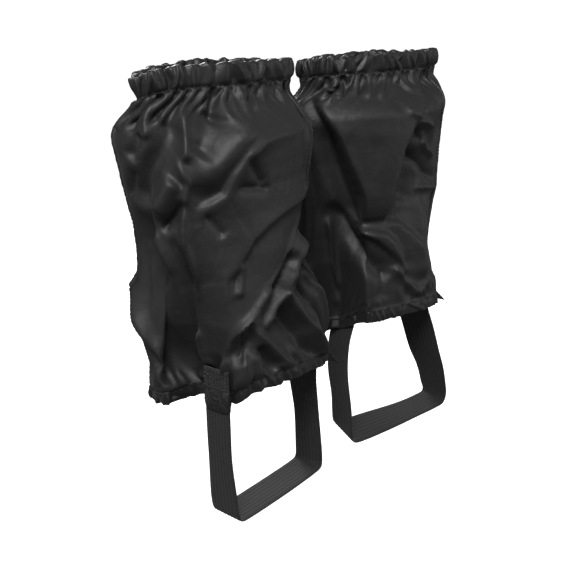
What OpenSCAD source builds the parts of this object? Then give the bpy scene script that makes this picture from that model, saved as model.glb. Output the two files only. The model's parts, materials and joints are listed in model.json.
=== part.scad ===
// A pair of short pull-on gaiters: a gathered calf casing, a loose fabric body
// of two panels, a gathered hem casing, and a webbing stirrup that runs under the boot.
// Each gaiter is drawn in its own frame: x across the leg, -y towards the toe,
// z = 0 at the top rim of the calf casing and everything else below it.

/* [Pair] */
// Distance between the two leg axes
pair_gap = 187; // [187:1:260]
// How far the right gaiter stands in front of the left one
right_step = 7; // [0:1:12]
// Turn of the right gaiter about its leg axis, in degrees
right_turn = -15; // [-16:1:0]

/* [Body] */
// Height from the top rim to the bottom of the hem
body_h = 236; // [210:2:290]
// Width of the calf casing across the leg
cuff_w = 154; // [140:1:160]
// Depth of the calf casing, front to back
cuff_d = 56; // [46:1:70]
// Width of the body at its shoulder, where it is fullest
belly_w = 176; // [166:1:178]
// Depth of the body at its shoulder
belly_d = 114; // [106:1:120]
// Width of the body at its waist
waist_w = 156; // [150:1:170]
// Depth of the body at its waist
waist_d = 106; // [100:1:114]
// Width of the hem
hem_w = 172; // [172:1:174]
// Depth of the hem
hem_d = 120; // [120:1:122]
// Thickness of one fabric panel with its gathers
cloth_t = 1.6; // [1.2:0.1:1.8]

/* [Casings] */
// Height of the calf casing
calf_casing_h = 17; // [14:1:20]
// Height of the hem casing
hem_casing_h = 11; // [9:1:14]
// Wall of a casing
casing_wall = 1.2; // [1:0.1:1.2]
// Thickness of the elastic inside a casing
elastic_t = 1; // [0.6:0.1:1]
// How far the free seam corner stands out at the hem
fin_w = 13; // [5:1:13]

/* [Strap] */
// Width of the webbing
webbing_w = 30; // [26:1:30]
// Thickness of the webbing
webbing_t = 2; // [1.6:0.1:2]
// Width of the stirrup, outside to outside
strap_w = 108; // [108:1:109]
// Drop of the stirrup below the hem
strap_drop = 110; // [90:1:130]
// Place of the stirrup front to back
strap_y = -32; // [-33:1:-31]
// Height of the sewn webbing ends above the hem's lower edge
tab_h = 29; // [24:1:32]
// Swing of the stirrup each way, in degrees
swing = 45; // [20:1:50]

/* [Hidden] */

nylon = [0.07, 0.07, 0.075];
nylon_dark = [0.05, 0.05, 0.055];
webbing_c = [0.17, 0.17, 0.18];
thread_c = [0.12, 0.12, 0.125];
elastic_c = [0.25, 0.25, 0.25];

gap = 0.3;                      // clearance between neighbouring pieces
pivot_z = -(body_h + 22);       // the stirrup's hinge line, below the hem
sole_z = -(body_h + strap_drop);
round_r = webbing_w / 2;        // rounded top end of each stirrup leg
panel_top = -(calf_casing_h + gap);
panel_bot = -(body_h - hem_casing_h - gap);
shoulder = 0.22 * body_h;       // depth at which the body is fullest
waist = 0.58 * body_h;          // depth of the waist
skirt = 0.9 * body_h;           // depth at which the hem's size is reached
seam_at = [-2, 10];             // places of the two seams round the body

// The hem's plan outline, every 15 degrees, as fractions of half its width and
// half its depth. It runs from the middle of one side round the back to the
// other side, steps in to the flat wall that the outer webbing end is sewn to,
// and returns along the front.
hem_unit = [
  [1, 0], [0.98, 0.26], [0.88, 0.47], [0.75, 0.68], [0.54, 0.82], [0.28, 0.91],
  [0, 0.93], [-0.28, 0.91], [-0.54, 0.82], [-0.75, 0.68], [-0.88, 0.47], [-0.99, 0.27],
  [-1, 0.06], [-0.94, -0.14], [-0.6, -0.22], [-0.565, -0.56], [-0.56, -0.9], [-0.34, -0.99],
  [-0.04, -1.02], [0.28, -1], [0.53, -0.93], [0.73, -0.77], [0.88, -0.52], [0.97, -0.26]
];

function ss(t) = let (u = min(1, max(0, t))) u * u * (3 - 2 * u);
function mix(a, b, t) = a + (b - a) * t;
function wrap(i) = ((i % 24) + 24) % 24;
// a smooth closed curve through the hem's points, s from 0 to 24
function hem_at(s) =
  let (i = floor(s), t = s - i,
       a = hem_unit[wrap(i - 1)], b = hem_unit[wrap(i)],
       c = hem_unit[wrap(i + 1)], d = hem_unit[wrap(i + 2)])
  0.5 * (2 * b + (c - a) * t + (2 * a - 5 * b + 4 * c - d) * t * t
         + (3 * b - a - 3 * c + d) * t * t * t);

// size at depth q below the rim, blended between the cuff, shoulder, waist and hem
function size_at(q, cuff, belly, mid, hem) = q < shoulder
  ? mix(cuff, belly, ss((q - calf_casing_h) / (shoulder - calf_casing_h)))
  : q < waist
    ? mix(belly, mid, ss((q - shoulder) / (waist - shoulder)))
    : mix(mid, hem, ss((q - waist) / (skirt - waist)));
function half_w(q) = size_at(q, cuff_w, belly_w, waist_w, hem_w) / 2;
function half_d(q) = size_at(q, cuff_d, belly_d, waist_d, hem_d) / 2;
function hem_share(q) = ss((q / body_h - 0.45) / 0.4);

// a point of the body's middle surface: s runs round it from 0 to 24
function plan(s, q) =
  let (k = hem_share(q), h = hem_at(s))
  [half_w(q) * mix(cos(15 * s), h[0], k), half_d(q) * mix(sin(15 * s), h[1], k)];
function outward(s, q) =
  let (d = plan(s + 0.1, q) - plan(s - 0.1, q), l = norm(d)) [d[1] / l, -d[0] / l];
function off(s, q, r) =
  let (p = plan(s, q), n = outward(s, q)) [p[0] + n[0] * r, p[1] + n[1] * r, -q];

// rows down a panel, closer together where it flares
rows = [0, 0.04, 0.09, 0.15, 0.22, 0.3, 0.38, 0.46, 0.54, 0.62, 0.7, 0.78, 0.85, 0.92, 1];

// closed shell between an outer and an inner grid of m rows by k columns
module grid_shell(outer, inner, m, k) {
  n = m * k;
  a = [for (i = [0:m - 2], j = [0:k - 2], h = [0, 1])
    let (p = i * k + j) h == 0 ? [p, p + k, p + 1] : [p + 1, p + k, p + k + 1]];
  b = [for (f = a) [f[0] + n, f[2] + n, f[1] + n]];
  top = [for (j = [0:k - 2], h = [0, 1]) h == 0 ? [j, j + 1, n + j] : [j + 1, n + j + 1, n + j]];
  z = (m - 1) * k;
  bot = [for (j = [0:k - 2], h = [0, 1])
    h == 0 ? [z + j, n + z + j, z + j + 1] : [z + j + 1, n + z + j, n + z + j + 1]];
  lo = [for (i = [0:m - 2], h = [0, 1]) let (p = i * k)
    h == 0 ? [p, n + p, p + k] : [p + k, n + p, n + p + k]];
  hi = [for (i = [0:m - 2], h = [0, 1]) let (p = i * k + k - 1)
    h == 0 ? [p, p + k, n + p] : [p + k, n + p + k, n + p]];
  polyhedron(concat(outer, inner), concat(a, b, top, bot, lo, hi), convexity = 6);
}

// one fabric panel from s0 to s1 round the body
module panel(s0, s1) {
  m = len(rows);
  cols = concat([s0 + 0.085], [for (s = [s0 + 0.5:0.5:s1 - 0.25]) s], [s1 - 0.085]);
  depth = [for (r = rows) mix(-panel_top, -panel_bot, r)];
  o = [for (q = depth, s = cols) off(s, q, cloth_t / 2)];
  i = [for (q = depth, s = cols) off(s, q, -cloth_t / 2)];
  grid_shell(o, i, m, len(cols));
}

// a ring that follows the body's outline, with a section of [outward, depth] points
module ring(section) {
  p = len(section);
  c = 48;
  pts = [for (j = [0:c - 1], v = section)
    let (q = v[1] < body_h / 2 ? min(v[1], calf_casing_h) : max(v[1], body_h - hem_casing_h),
         w = off(j / 2, q, v[0])) [w[0], w[1], -v[1]]];
  faces = [for (j = [0:c - 1], i = [0:p - 1], h = [0, 1])
    let (jn = (j + 1) % c, ni = (i + 1) % p)
    h == 0 ? [j * p + i, j * p + ni, jn * p + i] : [jn * p + i, j * p + ni, jn * p + ni]];
  polyhedron(pts, faces, convexity = 8);
}

cav = elastic_t / 2 + gap;      // half the space inside a casing
skin = cav + casing_wall;

// folded tunnel, closed at the rim and open towards the panel
module calf_casing_shape()
  ring([[skin, 0], [skin, calf_casing_h], [cav, calf_casing_h], [cav, casing_wall],
        [-cav, casing_wall], [-cav, calf_casing_h], [-skin, calf_casing_h], [-skin, 0]]);
module hem_casing_shape() {
  t = body_h - hem_casing_h;
  ring([[skin, t], [skin, body_h], [-skin, body_h], [-skin, t], [-cav, t],
        [-cav, body_h - casing_wall], [cav, body_h - casing_wall], [cav, t]]);
}
module band(d0, d1, r0, r1) ring([[r1, d0], [r1, d1], [r0, d1], [r0, d0]]);

// felled seam down one side, an upright plate that stands out from the body and
// ends at the hem in a free corner that the casing does not gather
module seam(s, fin) {
  top = [for (r = rows) if (r > 0.01) mix(-panel_top, -panel_bot, r)];
  depth = concat([-panel_top], top, [body_h - hem_casing_h, body_h]);
  inner = function(q) q < body_h - hem_casing_h ? -0.8 : skin + gap;
  reach = function(q) 3.6 + skin * ss((q - 190) / 30) + (fin - 3.6) * pow(ss((q - 196) / 50), 1.6) * 1.6;
  pt = function(q, r, t) let (p = off(s, q, r), n = outward(s, q)) [p[0] - n[1] * t, p[1] + n[0] * t, p[2]];
  a = [for (q = depth, e = [0, 1]) pt(q, e == 0 ? inner(q) : reach(q), -0.8)];
  b = [for (q = depth, e = [0, 1]) pt(q, e == 0 ? inner(q) : reach(q), 0.8)];
  grid_shell(b, a, len(depth), 2);
}

// one leg of webbing beside the hem; side -1 is the outer end, +1 the inner end
module leg_plate(side, z0, z1)
  translate([side > 0 ? strap_w / 2 - webbing_t : -strap_w / 2, strap_y - webbing_w / 2, z0])
    cube([webbing_t, webbing_w, z1 - z0]);

// everything the swinging leg passes through near its rounded top
module swing_room()
  translate([0, strap_y, pivot_z]) {
    translate([-strap_w, 0, 0]) rotate([0, 90, 0]) cylinder(h = 2 * strap_w, r = round_r + 0.4, $fn = 64);
    for (a = [-swing - 1, 0, swing + 1])
      rotate([a, 0, 0])
        translate([-strap_w, -round_r - 0.4, -strap_drop]) cube([2 * strap_w, webbing_w + 0.8, strap_drop]);
  }

module tab(side)
  difference() {
    leg_plate(side, pivot_z, -(body_h - tab_h));
    swing_room();
  }

// U of webbing with rounded lower corners, cut round at the top of each leg
module stirrup_shape() {
  a = strap_w / 2;
  r = 6;
  t = webbing_t;
  arc = [for (w = [0:15:90]) w];
  outer = concat(
    [for (w = arc) [-a + r - r * cos(w), sole_z + r - r * sin(w)]],
    [for (w = arc) [a - r + r * sin(w), sole_z + r - r * cos(w)]]);
  inner = concat(
    [for (w = arc) [a - r + (r - t) * cos(w), sole_z + r - (r - t) * sin(w)]],
    [for (w = arc) [-a + r - (r - t) * sin(w), sole_z + r - (r - t) * cos(w)]]);
  top = pivot_z + round_r;
  u = concat([[-a, top]], outer, [[a, top], [a - t, top]], inner, [[-a + t, top]]);
  intersection() {
    translate([0, strap_y + webbing_w / 2, 0]) rotate([90, 0, 0]) linear_extrude(webbing_w) polygon(u);
    union() {
      translate([-a - 1, strap_y, pivot_z]) rotate([0, 90, 0]) cylinder(h = 2 * a + 2, r = round_r, $fn = 64);
      translate([-a - 1, strap_y - round_r - 1, sole_z - 1]) cube([2 * a + 2, webbing_w + 2, pivot_z - sole_z + 1]);
    }
  }
}

// a stitched box on the face of a webbing end, proud of it by one thread
module box_stitch(x)
  translate([x, strap_y, -(body_h - tab_h + 15)]) {
    difference() {
      translate([0, -12, -11]) cube([0.6, 24, 22]);
      translate([-1, -11.2, -10.2]) cube([3, 22.4, 9.8]);
      translate([-1, -11.2, 0.4]) cube([3, 22.4, 9.8]);
    }
  }
module tab_stitching() {
  box_stitch(-strap_w / 2 - 0.65);
  box_stitch(strap_w / 2 - webbing_t - 0.65);
}

module left_at() children();
module right_at() translate([pair_gap, -right_step, 0]) rotate([0, 0, right_turn]) children();

module front_panel() color(nylon) panel(seam_at[1], seam_at[0] + 24);
module back_panel() color(nylon) panel(seam_at[0], seam_at[1]);
module corner_seam() color(nylon_dark) seam(seam_at[0], fin_w);
module plain_seam() color(nylon_dark) seam(seam_at[1], 4);
module calf_casing() color(nylon) calf_casing_shape();
module calf_elastic() color(elastic_c) band(2, calf_casing_h - 2, -elastic_t / 2, elastic_t / 2);
module calf_stitching() color(thread_c) band(calf_casing_h - 3, calf_casing_h - 2, skin + 0.05, skin + 0.75);
module hem_casing() color(nylon) hem_casing_shape();
module hem_elastic() color(elastic_c)
  band(body_h - hem_casing_h + 1.5, body_h - 2, -elastic_t / 2, elastic_t / 2);
module hem_stitching() color(thread_c)
  band(body_h - hem_casing_h + 1.5, body_h - hem_casing_h + 2.3, -skin - 0.65, -skin - 0.05);
module outer_tab() color(webbing_c) tab(-1);
module inner_tab() color(webbing_c) tab(1);
module stitches() color(thread_c) tab_stitching();
module stirrup() color(webbing_c) stirrup_shape();

left_at() front_panel();  // left_front_panel
left_at() back_panel();  // left_back_panel
left_at() corner_seam();  // left_corner_seam
left_at() plain_seam();  // left_plain_seam
left_at() calf_casing();  // left_calf_casing
left_at() calf_elastic();  // left_calf_elastic
left_at() calf_stitching();  // left_calf_stitching
left_at() hem_casing();  // left_hem_casing
left_at() hem_elastic();  // left_hem_elastic
left_at() hem_stitching();  // left_hem_stitching
left_at() outer_tab();  // left_outer_tab
left_at() inner_tab();  // left_inner_tab
left_at() stitches();  // left_tab_stitching
left_at() stirrup();  // left_stirrup
right_at() front_panel();  // right_front_panel
right_at() back_panel();  // right_back_panel
right_at() corner_seam();  // right_corner_seam
right_at() plain_seam();  // right_plain_seam
right_at() calf_casing();  // right_calf_casing
right_at() calf_elastic();  // right_calf_elastic
right_at() calf_stitching();  // right_calf_stitching
right_at() hem_casing();  // right_hem_casing
right_at() hem_elastic();  // right_hem_elastic
right_at() hem_stitching();  // right_hem_stitching
right_at() outer_tab();  // right_outer_tab
right_at() inner_tab();  // right_inner_tab
right_at() stitches();  // right_tab_stitching
right_at() stirrup();  // right_stirrup
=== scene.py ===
# A pair of pull-on gaiters: gathered nylon bodies on ribbed webbing stirrups.
import bpy
import json
import math
import numpy as np
from mathutils import Matrix, Vector


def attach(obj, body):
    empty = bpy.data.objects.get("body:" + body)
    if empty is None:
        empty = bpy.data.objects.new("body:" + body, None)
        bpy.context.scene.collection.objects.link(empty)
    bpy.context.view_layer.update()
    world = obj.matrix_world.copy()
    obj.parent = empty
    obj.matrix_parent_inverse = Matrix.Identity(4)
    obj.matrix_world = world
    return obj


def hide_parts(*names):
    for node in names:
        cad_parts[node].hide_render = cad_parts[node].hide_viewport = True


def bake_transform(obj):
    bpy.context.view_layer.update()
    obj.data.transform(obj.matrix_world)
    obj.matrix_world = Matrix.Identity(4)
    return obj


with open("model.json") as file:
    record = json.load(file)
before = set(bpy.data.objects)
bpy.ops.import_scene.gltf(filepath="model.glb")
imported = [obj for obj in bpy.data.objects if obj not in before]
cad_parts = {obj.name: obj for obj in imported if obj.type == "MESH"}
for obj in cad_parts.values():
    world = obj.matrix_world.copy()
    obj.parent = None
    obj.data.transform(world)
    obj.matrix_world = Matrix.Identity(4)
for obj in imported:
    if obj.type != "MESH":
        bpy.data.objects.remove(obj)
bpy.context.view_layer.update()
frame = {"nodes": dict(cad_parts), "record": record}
record = frame["record"]

# ---------------------------------------------------------------- sizes, in millimetres
BODY_H = 236.0
CASING_H = 17.0
HEM_H = 11.0
SHOULDER, WAIST, SKIRT = 0.22 * BODY_H, 0.58 * BODY_H, 0.9 * BODY_H
STRAP_Y = -32.0
STRAP_W = 30.0
PIVOT_Z = -258.0
CLOTH = 0.34
PLACE = {"left": (0.0, (0.0, 0.0)), "right": (-15.0, (187.0, -7.0))}
HEM = np.array([[1, 0], [0.98, 0.26], [0.88, 0.47], [0.75, 0.68], [0.54, 0.82], [0.28, 0.91],
                [0, 0.93], [-0.28, 0.91], [-0.54, 0.82], [-0.75, 0.68], [-0.88, 0.47], [-0.99, 0.27],
                [-1, 0.06], [-0.94, -0.14], [-0.6, -0.22], [-0.565, -0.56], [-0.56, -0.9], [-0.34, -0.99],
                [-0.04, -1.02], [0.28, -1], [0.53, -0.93], [0.73, -0.77], [0.88, -0.52], [0.97, -0.26]], float)
STEP_MM = 19.2     # one step of s, a 24th of the way round, at the middle of the body


def smooth(t):
    t = np.clip(t, 0, 1)
    return t * t * (3 - 2 * t)


def mix(a, b, t):
    return a + (b - a) * t


def size_at(q, cuff, belly, mid, hem):
    up = mix(cuff, belly, smooth((q - CASING_H) / (SHOULDER - CASING_H)))
    middle = mix(belly, mid, smooth((q - SHOULDER) / (WAIST - SHOULDER)))
    low = mix(mid, hem, smooth((q - WAIST) / (SKIRT - WAIST)))
    return np.where(q < SHOULDER, up, np.where(q < WAIST, middle, low))


def hem_at(s):
    i = np.floor(s).astype(int)
    t = (s - i)[..., None]
    a, b, c, d = (HEM[(i + k) % 24] for k in (-1, 0, 1, 2))
    return 0.5 * (2 * b + (c - a) * t + (2 * a - 5 * b + 4 * c - d) * t * t + (3 * b - a - 3 * c + d) * t ** 3)


def plan(s, q):
    s, q = np.broadcast_arrays(np.asarray(s, float), np.asarray(q, float))
    hw, hd = size_at(q, 154, 176, 156, 172) / 2, size_at(q, 56, 114, 106, 120) / 2
    k = smooth((q / BODY_H - 0.45) / 0.4)
    h = hem_at(s)
    a = np.radians(15 * s)
    return np.stack([hw * mix(np.cos(a), h[..., 0], k), hd * mix(np.sin(a), h[..., 1], k)], -1)


def around(s, c):
    """Signed steps from c to s, the short way round."""
    return (np.asarray(s, float) - c + 12) % 24 - 12


def bell(x):
    return np.exp(-x * x)


# ---------------------------------------------------------------- the large folds
# Each is a path of (s, depth) points, how far it stands out in mm and its half width in mm.
# ridge: rounded both sides. ledge: high on one side, low on the other, with a sharp step between.
FOLDS = {
    "left": [
        # the rounded fold that sweeps down from the gathers, and the crease under it
        ("ridge", [(17.7, 20), (17.3, 36), (16.5, 54), (15.7, 66), (14.9, 77)], 7.5, 12, 1.0),
        ("ledge", [(18.9, 45), (18.1, 47), (17.3, 51), (16.7, 59), (16.1, 73), (15.7, 86), (14.9, 93)], -7.5, 2.2, 18),
        ("ridge", [(16.0, 32), (15.5, 45), (15.0, 56)], -8.5, 10, 1.0),
        ("ridge", [(14.4, 38), (13.6, 52), (12.8, 68), (11.9, 90)], -8.0, 11, 1.0),
        ("ridge", [(14.75, 28), (14.6, 46), (14.5, 60)], 5.0, 5.0, 1.3),
        ("ridge", [(12.0, 100), (12.2, 128), (12.8, 154), (13.3, 186), (13.6, 216)], -7.0, 15, 1.0),
        ("ledge", [(12.7, 86), (12.5, 110), (12.9, 138), (13.3, 170), (13.7, 204), (14.0, 226)], -6.0, 2.6, 18),
        ("ridge", [(13.0, 95), (13.5, 84), (13.9, 74)], 6.5, 8, 1.0),
        ("ridge", [(14.2, 62), (14.5, 76), (14.15, 96), (14.0, 118), (14.5, 158)], 5.0, 5.0, 1.4),
        ("ridge", [(13.2, 107), (13.8, 99), (14.2, 90)], -5.0, 4.0, 1.3),
        ("ridge", [(12.8, 110), (12.95, 124), (13.1, 140)], 3.0, 3.5, 1.3),
        ("ridge", [(13.5, 116), (13.8, 134), (14.5, 158)], -3.0, 4.0, 1.2),
        ("ridge", [(16.7, 64), (17.3, 83)], -3.2, 4.0, 1.2),
        ("ridge", [(16.3, 83), (17.5, 87)], -3.0, 3.5, 1.2),
        ("ridge", [(15.0, 100), (15.5, 115)], -2.6, 4.0, 1.2),
        ("ledge", [(20.4, 104), (19.4, 106), (18.3, 110), (17.4, 116), (16.7, 124), (16.2, 136), (15.8, 148), (15.9, 162)], 6.5, 2.2, 16),
        ("ridge", [(16.2, 138), (16.05, 160)], 3.5, 3.5, 1.3),
        # the sharp edge where the front fold overhangs the hollow beside it
        ("ledge", [(19.4, 124), (18.9, 134), (18.2, 148), (17.2, 162), (16.1, 181), (15.3, 206), (15.05, 220)], -13.5, 2.4, 24),
        ("ridge", [(18.8, 144), (18.2, 154), (17.5, 164)], -7.0, 6, 1.0),
        ("ridge", [(16.6, 183), (15.9, 204)], -7.0, 7, 1.0),
        ("ridge", [(19.7, 134), (19.2, 143), (18.8, 154), (17.9, 168), (17.1, 188)], 7.0, 6, 1.2),
        ("ridge", [(17.9, 164), (18.5, 184), (19.4, 208), (20.2, 232)], 8.0, 7, 1.3),
        ("ridge", [(17.7, 178), (18.3, 198), (19.2, 228)], -6.0, 5, 1.1),
        ("ridge", [(16.5, 182), (17.2, 202), (17.9, 222)], 6.5, 6, 1.3),
        ("ridge", [(16.9, 202), (17.4, 224)], -4.0, 4, 1.2),
        ("ridge", [(19.3, 170), (20.2, 196), (21.2, 222)], -5.5, 5, 1.2),
        ("ridge", [(20.0, 164), (20.9, 190), (21.7, 216)], 4.5, 5, 1.2),
        ("ridge", [(18.8, 158), (18.4, 172), (18.8, 184)], 4.0, 5, 1.2),
        ("ridge", [(16.1, 202), (16.25, 226)], 4.0, 4, 1.3),
        ("ridge", [(16.6, 206), (16.7, 228)], 3.5, 3.5, 1.3),
        ("ridge", [(15.7, 198), (15.9, 222)], 3.0, 4, 1.2),
        # short gathers under the calf casing
        ("ridge", [(11.2, 16), (10.9, 34)], 3.5, 5, 1.2),
        ("ridge", [(12.2, 16), (12.0, 36)], -4.0, 4, 1.2),
        ("ridge", [(13.0, 15), (13.0, 42)], 4.0, 5, 1.3),
        ("ridge", [(13.6, 15), (13.4, 32)], -3.5, 3.5, 1.2),
        ("ridge", [(14.1, 15), (13.8, 34)], 3.5, 4, 1.3),
        ("ridge", [(15.1, 15), (14.9, 28)], 2.5, 4, 1.2),
        ("ridge", [(16.5, 15), (16.2, 30), (16.0, 38)], -5.0, 4, 1.2),
        ("ridge", [(16.9, 15), (16.45, 36)], 3.0, 3.0, 1.3),
        ("ridge", [(17.5, 15), (17.9, 36)], 3.5, 4, 1.3),
        ("ridge", [(19.1, 15), (18.3, 34)], 3.0, 4, 1.3),
        ("ridge", [(18.2, 18), (18.2, 30)], -3.0, 4, 1.2),
        ("ridge", [(20.3, 15), (19.9, 30)], 2.5, 4, 1.2),
        ("ridge", [(11.9, 56), (12.5, 40)], -5.0, 6, 1.1),
        ("ridge", [(11.2, 86), (11.9, 66)], -2.6, 3.5, 1.2),
        ("ridge", [(9.8, 150), (10.8, 176), (12.9, 208)], 6.0, 7, 1.2),
        ("ridge", [(9.4, 180), (10.4, 200), (11.6, 222)], -4.0, 6, 1.1),
        ("ridge", [(12.0, 212), (13.8, 227)], 4.0, 6, 1.1),
        ("ridge", [(14.35, 186), (14.4, 206), (14.1, 222)], 6.0, 5, 1.2),
        ("ridge", [(20.8, 36), (20.2, 60), (20.4, 92)], -5.0, 8, 1.0),
        ("ridge", [(21.6, 112), (21.2, 132), (21.4, 156)], -5.0, 18, 1.0),
        # the far side, which hangs in long soft folds
        ("ridge", [(2.0, 30), (2.6, 90), (1.8, 150)], -5.0, 12, 1.0),
        ("ridge", [(4.4, 24), (3.6, 80), (4.6, 140), (4.2, 200)], 5.0, 10, 1.1),
        ("ledge", [(7.6, 40), (6.6, 74), (5.6, 104), (5.0, 128)], 4.5, 7.0, 22),
        ("ridge", [(7.4, 110), (6.8, 160), (7.6, 214)], 5.0, 9, 1.1),
        ("ledge", [(1.4, 120), (2.6, 150), (3.4, 184), (3.0, 212)], -5.0, 7.0, 22),
        ("ridge", [(9.0, 60), (9.6, 110), (9.0, 150)], -4.0, 10, 1.0),
        ("ridge", [(5.8, 150), (5.2, 184), (5.8, 220)], -5.0, 8, 1.1),
    ],
    "right": [
        ("ledge", [(13.8, 36), (14.3, 50), (14.8, 66), (15.3, 94), (15.7, 118), (15.8, 138)], -10.0, 2.4, 20),
        ("ledge", [(18.4, 52), (17.8, 76), (17.5, 92), (17.2, 116), (17.0, 138)], 8.5, 4.0, 20),
        ("ridge", [(13.7, 15), (14.7, 34)], 5.0, 4.5, 1.3),
        ("ridge", [(14.5, 15), (15.2, 32)], 4.5, 4.0, 1.3),
        ("ridge", [(14.1, 15), (14.9, 32)], -4.0, 3.5, 1.2),
        ("ridge", [(15.3, 15), (15.5, 28)], -3.0, 4.0, 1.2),
        ("ridge", [(16.0, 15), (16.0, 31)], 4.0, 5.0, 1.3),
        ("ridge", [(16.8, 15), (16.4, 34)], 4.0, 4.5, 1.3),
        ("ridge", [(16.4, 15), (16.2, 30)], -3.0, 3.5, 1.2),
        ("ridge", [(17.8, 15), (16.9, 34)], 4.0, 4.0, 1.3),
        ("ridge", [(18.6, 15), (18.3, 24)], 2.5, 3.5, 1.2),
        ("ridge", [(19.4, 15), (19.3, 26)], 3.0, 3.5, 1.3),
        ("ridge", [(15.2, 66), (15.9, 100), (16.4, 70)], -1.6, 8.0, 1.0),
        ("ridge", [(14.1, 60), (14.5, 88), (14.9, 114), (15.1, 140)], -5.0, 10, 1.0),
        ("ridge", [(18.5, 84), (18.4, 106), (18.1, 128)], -5.5, 11, 1.0),
        ("ridge", [(17.3, 42), (17.9, 34), (18.7, 29)], -5.0, 6, 1.1),
        ("ridge", [(17.0, 36), (19.1, 26)], 1.8, 2.5, 1.3),
        ("ridge", [(17.8, 38), (17.9, 48), (18.4, 54), (18.9, 44), (19.3, 26)], 3.2, 4.0, 1.4),
        ("ridge", [(20.8, 20), (19.4, 38), (18.4, 56)], -3.5, 4.0, 1.3),
        ("ridge", [(21.8, 24), (20.4, 42)], 3.5, 9, 1.0),
        ("ridge", [(18.3, 57), (19.1, 60), (19.8, 67)], 4.5, 4.0, 1.4),
        ("ridge", [(19.0, 70), (19.4, 84), (20.2, 92)], 4.0, 4.0, 1.4),
        ("ridge", [(18.6, 66), (19.2, 76)], -4.0, 4.0, 1.2),
        ("ridge", [(17.7, 80), (18.7, 90), (20.4, 114)], -3.5, 5.0, 1.2),
        ("ridge", [(19.0, 119), (20.4, 122)], 3.0, 4.0, 1.2),
        ("ledge", [(15.3, 150), (16.0, 148), (16.9, 152), (17.4, 162), (17.7, 176), (17.9, 192)], 8.0, 2.4, 15),
        ("ridge", [(14.1, 130), (14.9, 154), (16.0, 175), (17.1, 190)], -8.5, 8, 1.1),
        ("ridge", [(13.9, 140), (13.9, 180), (14.2, 198)], 3.5, 6, 1.2),
        ("ridge", [(13.0, 182), (14.1, 212)], 2.5, 3.5, 1.3),
        ("ridge", [(19.2, 134), (19.0, 168), (18.8, 200)], 4.5, 8, 1.0),
        ("ridge", [(17.4, 186), (18.4, 216)], 3.5, 4.0, 1.3),
        ("ridge", [(17.0, 188), (16.8, 214)], -3.0, 5.0, 1.2),
        ("ridge", [(17.9, 194), (18.1, 220)], -3.0, 4.0, 1.2),
        ("ridge", [(19.2, 204), (18.5, 218)], 3.0, 4.0, 1.2),
        ("ridge", [(21.2, 130), (20.6, 170), (20.8, 205)], -6.0, 18, 1.0),
        ("ridge", [(12.0, 60), (12.4, 120), (12.0, 180)], 3.0, 14, 1.0),
        # the far side
        ("ridge", [(1.2, 26), (2.4, 80), (1.6, 140), (2.0, 205)], -5.0, 11, 1.0),
        ("ridge", [(3.8, 30), (4.4, 90), (3.6, 150)], 5.0, 10, 1.1),
        ("ledge", [(8.2, 36), (7.0, 70), (6.2, 96), (4.8, 120)], 4.5, 7.0, 22),
        ("ridge", [(6.0, 120), (6.6, 170), (6.0, 216)], 5.0, 9, 1.1),
        ("ledge", [(0.6, 110), (1.8, 146), (2.8, 176), (3.2, 210)], -5.0, 7.0, 22),
        ("ridge", [(9.4, 60), (9.0, 120), (9.8, 180)], -4.0, 10, 1.0),
    ],
}


# A raised or sunk area between two lines: (depth, s of left line, s of right line, height), then the width of each edge.
BANDS = {
    "left": [
        ([(84, 13.0, 21.0, 0), (104, 12.5, 20.8, 2.0), (118, 12.6, 19.7, 5.0), (134, 13.0, 18.9, 7.5), (148, 13.1, 18.2, 8.5), (162, 13.3, 17.3, 10.0),
          (181, 13.5, 16.3, 11.0), (200, 13.9, 15.5, 8.5), (212, 14.1, 15.4, 3.0), (224, 14.2, 15.4, 0.0)], 10.0, 5.0),
        ([(136, 18.9, 23.0, 0), (150, 18.1, 21.6, -4.0), (170, 16.8, 20.6, -7.0), (190, 15.8, 19.6, -5.0), (214, 15.3, 18.0, -2.5), (226, 15.3, 17.0, 0)], 5.0, 16.0),
        ([(96, 10.6, 12.8, 0), (120, 10.6, 12.6, -4.0), (160, 10.8, 13.2, -6.0), (200, 11.8, 13.6, -5.0), (222, 12.6, 14.0, -1.0)], 14.0, 8.0),
    ],
    "right": [
        ([(26, 13.6, 20.0, 1.0), (40, 14.0, 19.0, 4.0), (66, 14.7, 18.1, 6.0), (94, 15.2, 17.6, 7.0), (118, 15.6, 17.3, 7.0), (138, 15.7, 17.0, 5.0), (146, 15.6, 17.0, 0)], 4.5, 7.0),
        ([(50, 18.8, 21.0, 0), (80, 18.0, 20.4, -4.0), (110, 17.6, 20.2, -5.0), (140, 17.6, 19.6, -3.0), (156, 18.0, 19.6, 0)], 8.0, 12.0),
        ([(56, 12.8, 14.6, 0), (90, 12.8, 15.0, -4.5), (130, 12.9, 15.6, -5.0), (160, 13.0, 15.6, -3.0), (180, 13.0, 15.8, 0)], 10.0, 6.0),
        ([(141, 15.3, 17.2, 0), (147, 15.4, 17.8, 6.0), (158, 16.4, 18.4, 6.0), (172, 17.2, 18.9, 5.0), (190, 17.9, 19.1, 2.0), (200, 18.2, 19.1, 0)], 4.0, 10.0),
    ],
}


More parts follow.
